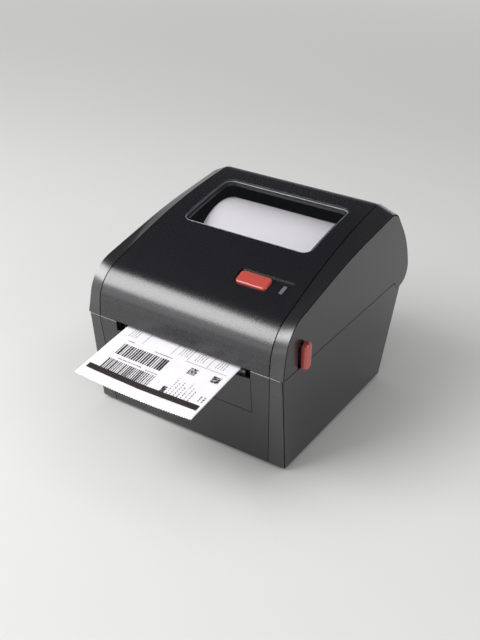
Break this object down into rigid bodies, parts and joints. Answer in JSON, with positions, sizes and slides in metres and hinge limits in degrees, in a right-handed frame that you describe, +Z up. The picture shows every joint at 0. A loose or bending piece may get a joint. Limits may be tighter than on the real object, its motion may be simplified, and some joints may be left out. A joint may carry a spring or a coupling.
{
  "type": "thermal label printer",
  "caption": "Compact desktop direct-thermal label printer with a rear-hinged cover, clear roll window, red feed button, side release latches and a label leaving the front slot.",
  "frame": {"origin": "middle of the overall box, on the plane the feet stand on", "axes": "+X to the printer's right as seen from its front, +Y to the back, +Z up"},
  "size_m": [0.1892, 0.271, 0.1595],
  "materials": {
    "charcoal": "fine moulded texture",
    "black": "fine moulded texture",
    "grey": "moulded",
    "red": "satin",
    "clear": "clear polycarbonate, polished",
    "lamp": "frosted",
    "paper": "matt coated",
    "card": "raw",
    "rubber": "ground",
    "steel": "plain",
    "acetal": "moulded",
    "motor": "satin",
    "board": "solder mask",
    "brass": "plated",
    "socket": "moulded",
    "tin": "tinned",
    "ceramic": "glazed",
    "aluminium": "extruded"
  },
  "bodies": {
    "base": {"base_shell": "charcoal", "front_insert": "charcoal", "tear_bar": "steel", "bottom_plate": "black", "bottom_screws": "steel", "rubber_feet": "rubber", "media_tray": "black", "label_strip": "paper", "drive_plate_left": "steel", "drive_plate_right": "steel", "platen_bushes": "acetal", "idler_post": "steel", "drive_motor": "motor", "gap_sensor": "grey", "main_board": "board", "board_standoffs": "brass", "power_inlet": "socket", "data_socket": "tin", "switch_housing": "black", "latch_springs": "steel"},
    "cover": {"cover_frame": "charcoal", "hinge_pins": "steel", "top_panel": "black", "window": "clear", "light_pipe": "lamp", "key_board": "board", "thermal_head": "ceramic", "head_heat_sink": "aluminium", "head_bracket": "steel", "head_springs": "steel"},
    "platen": {"platen_shaft": "steel", "platen_rubber": "rubber", "platen_gear": "acetal"},
    "idler": {"idler_gear": "acetal"},
    "rotor": {"motor_pinion": "acetal", "motor_shaft": "steel"},
    "roll": {"label_roll": "paper", "roll_core": "card"},
    "holder_right": {"roll_holder_right": "grey"},
    "holder_left": {"roll_holder_left": "grey"},
    "holder_gear": {"holder_pinion": "acetal"},
    "button": {"feed_button": "red"},
    "latch_right": {"latch_lever_right": "red"},
    "latch_left": {"latch_lever_left": "red"},
    "rocker": {"switch_rocker": "black"}
  },
  "joints": [
    {"name": "cover_hinge", "type": "hinge", "parent": "base", "child": "cover", "pos_m": [0, 0.1215, 0.094], "axis": [-1, 0, 0], "range_deg": [0, 85]},
    {"name": "platen_spin", "type": "hinge", "parent": "base", "child": "platen", "pos_m": [0, -0.0585, 0.0765], "axis": [1, 0, 0], "continuous": true},
    {"name": "idler_spin", "type": "hinge", "parent": "base", "child": "idler", "pos_m": [-0.072, -0.04474, 0.05327], "axis": [1, 0, 0], "continuous": true},
    {"name": "motor_spin", "type": "hinge", "parent": "base", "child": "rotor", "pos_m": [-0.072, -0.03454, 0.03607], "axis": [1, 0, 0], "continuous": true},
    {"name": "roll_spin", "type": "hinge", "parent": "base", "child": "roll", "pos_m": [0, 0.059, 0.0985], "axis": [1, 0, 0], "continuous": true},
    {"name": "holder_slide_right", "type": "slide", "parent": "base", "child": "holder_right", "axis": [1, 0, 0], "range_m": [0, 0.018]},
    {"name": "holder_slide_left", "type": "slide", "parent": "base", "child": "holder_left", "axis": [-1, 0, 0], "range_m": [0, 0.018]},
    {"name": "holder_gear_spin", "type": "hinge", "parent": "base", "child": "holder_gear", "pos_m": [0, 0.059, 0.026], "axis": [0, 0, 1], "range_deg": [-206.76, 0]},
    {"name": "feed_button_press", "type": "slide", "parent": "cover", "child": "button", "axis": [0, 0.3239, -0.9461], "range_m": [0, 0.0012], "stiffness_N_per_m": 700, "springref_m": -0.0006},
    {"name": "latch_pull_right", "type": "hinge", "parent": "base", "child": "latch_right", "pos_m": [0.08, -0.0445, 0.06], "axis": [1, 0, 0], "range_deg": [0, 8], "stiffness_Nm_per_rad": 0.3, "springref_deg": -5.73},
    {"name": "latch_pull_left", "type": "hinge", "parent": "base", "child": "latch_left", "pos_m": [-0.08, -0.0445, 0.06], "axis": [1, 0, 0], "range_deg": [0, 8], "stiffness_Nm_per_rad": 0.3, "springref_deg": -5.73},
    {"name": "power_rocker", "type": "hinge", "parent": "base", "child": "rocker", "pos_m": [0.03, 0.0885, 0.019], "axis": [0, 0, 1], "range_deg": [-15, 0]}
  ],
  "couplings": [
    {"joint": "platen_spin", "follows": "roll_spin", "ratio": -6.7143},
    {"joint": "idler_spin", "follows": "roll_spin", "ratio": 6.2347},
    {"joint": "motor_spin", "follows": "roll_spin", "ratio": -14.548},
    {"joint": "holder_slide_left", "follows": "holder_slide_right", "ratio": 1},
    {"joint": "holder_gear_spin", "follows": "holder_slide_right", "rad_per_m": -200}
  ]
}
